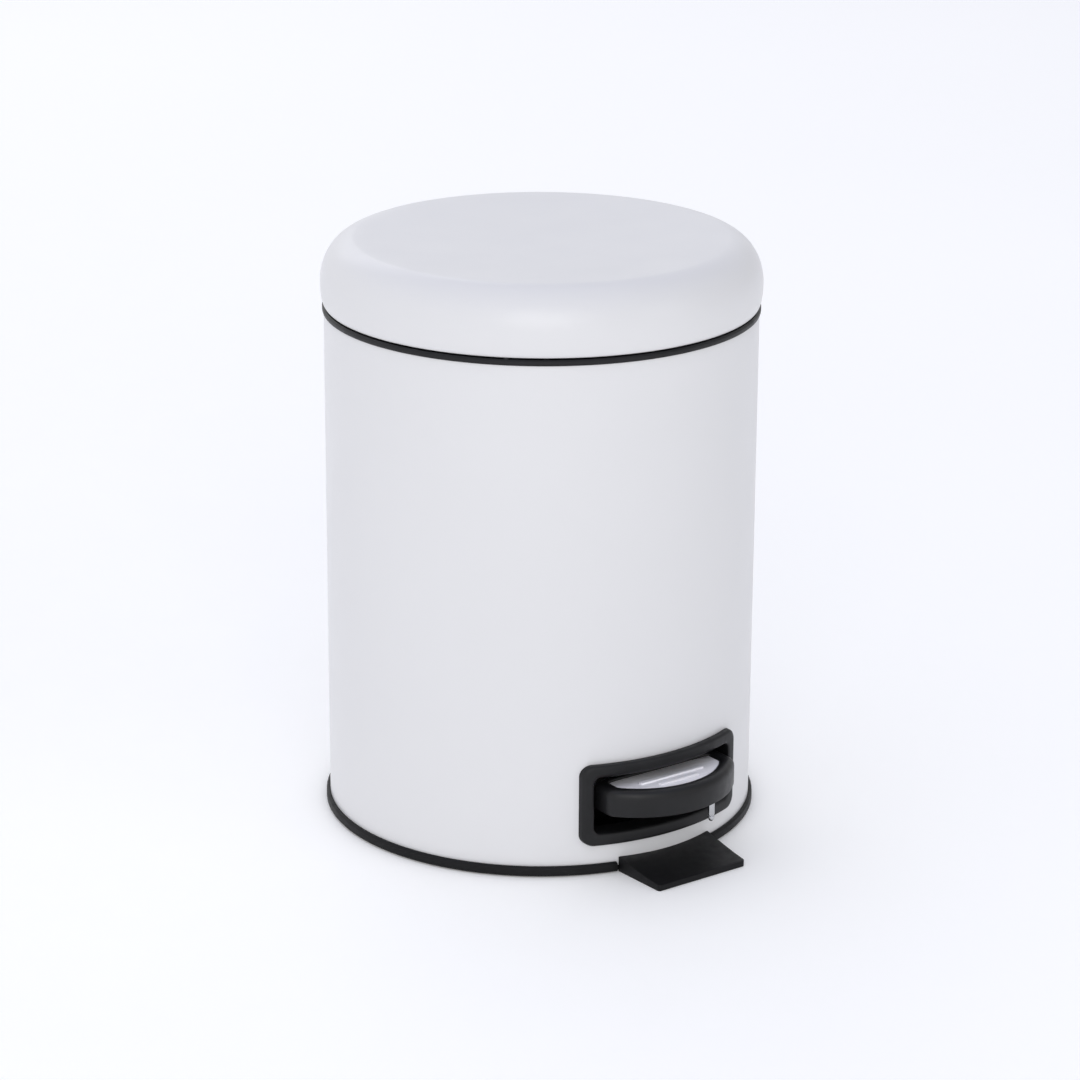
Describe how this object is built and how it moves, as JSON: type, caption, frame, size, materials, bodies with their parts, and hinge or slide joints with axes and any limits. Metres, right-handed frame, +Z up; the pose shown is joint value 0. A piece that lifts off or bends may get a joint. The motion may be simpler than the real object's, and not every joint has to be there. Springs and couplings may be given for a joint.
{
  "type": "pedal trash can",
  "caption": "Round steel pedal bin with a domed hinged lid, a lever and push rod that lift the lid, and a lift-out inner bucket with a carrying wire.",
  "frame": {"origin": "centre of the round base, at the height of the floor it stands on", "axes": "+Z up, the pedal and foot point to -Y, the lid's hinge is at +Y, +X is to the right seen from the front"},
  "size_m": [0.2048, 0.2353, 0.2756],
  "materials": {
    "white_enamel": "satin powder coat",
    "black_plastic": "satin moulded",
    "bucket_plastic": "satin moulded",
    "nylon": "satin",
    "black_rubber": "matte",
    "tread_steel": "brushed",
    "zinc_steel": "zinc plated",
    "spring_steel": "dark oiled",
    "bright_wire": "polished"
  },
  "bodies": {
    "housing": {"base_moulding": "black_plastic", "floor_ring": "black_rubber", "stabiliser_foot": "black_plastic", "foot_screws": "zinc_steel", "outer_shell": "white_enamel", "slot_frame": "black_plastic", "frame_screws": "zinc_steel", "collar": "black_plastic", "lid_buffers": "black_rubber", "hinge_block": "black_plastic", "hinge_rivets": "zinc_steel", "hinge_pin": "bright_wire", "pivot_bracket": "zinc_steel", "bracket_screws": "zinc_steel", "pivot_axle": "bright_wire", "axle_clips": "spring_steel", "pivot_washers": "nylon", "rod_guide": "black_plastic"},
    "pedal": {"lever_arm": "zinc_steel", "pedal_rim": "black_plastic", "tread_plate": "tread_steel", "pedal_screws": "zinc_steel", "stop_pin": "bright_wire"},
    "rod": {"push_rod": "zinc_steel", "rod_clips": "spring_steel"},
    "lid": {"lid_shell": "white_enamel", "lid_bracket": "zinc_steel", "lid_rivets": "zinc_steel"},
    "bucket": {"inner_bucket": "bucket_plastic"},
    "bail": {"bail_wire": "bright_wire", "bail_grip": "black_plastic"}
  },
  "joints": [
    {"name": "lid_hinge", "type": "hinge", "parent": "housing", "child": "lid", "pos_m": [0, 0.1048, 0.246], "axis": [-1, 0, 0], "range_deg": [0, 80]},
    {"name": "pedal_pivot", "type": "hinge", "parent": "housing", "child": "pedal", "pos_m": [0, -0.027, 0.032], "axis": [1, 0, 0], "range_deg": [0, 7.37]},
    {"name": "rod_foot", "type": "hinge", "parent": "pedal", "child": "rod", "pos_m": [0, 0.0954, 0.02411], "axis": [-1, 0, 0], "range_deg": [0, 7.37]},
    {"name": "bucket_lift", "type": "slide", "parent": "housing", "child": "bucket", "axis": [0, 0, 1], "range_m": [0, 0.01]},
    {"name": "bail_swing", "type": "hinge", "parent": "bucket", "child": "bail", "pos_m": [0, 0, 0.2345], "axis": [-1, 0, 0], "range_deg": [0, 15]}
  ],
  "couplings": [
    {"joint": "pedal_pivot", "follows": "lid_hinge", "ratio": 0.092177},
    {"joint": "rod_foot", "follows": "lid_hinge", "ratio": 0.092177}
  ]
}
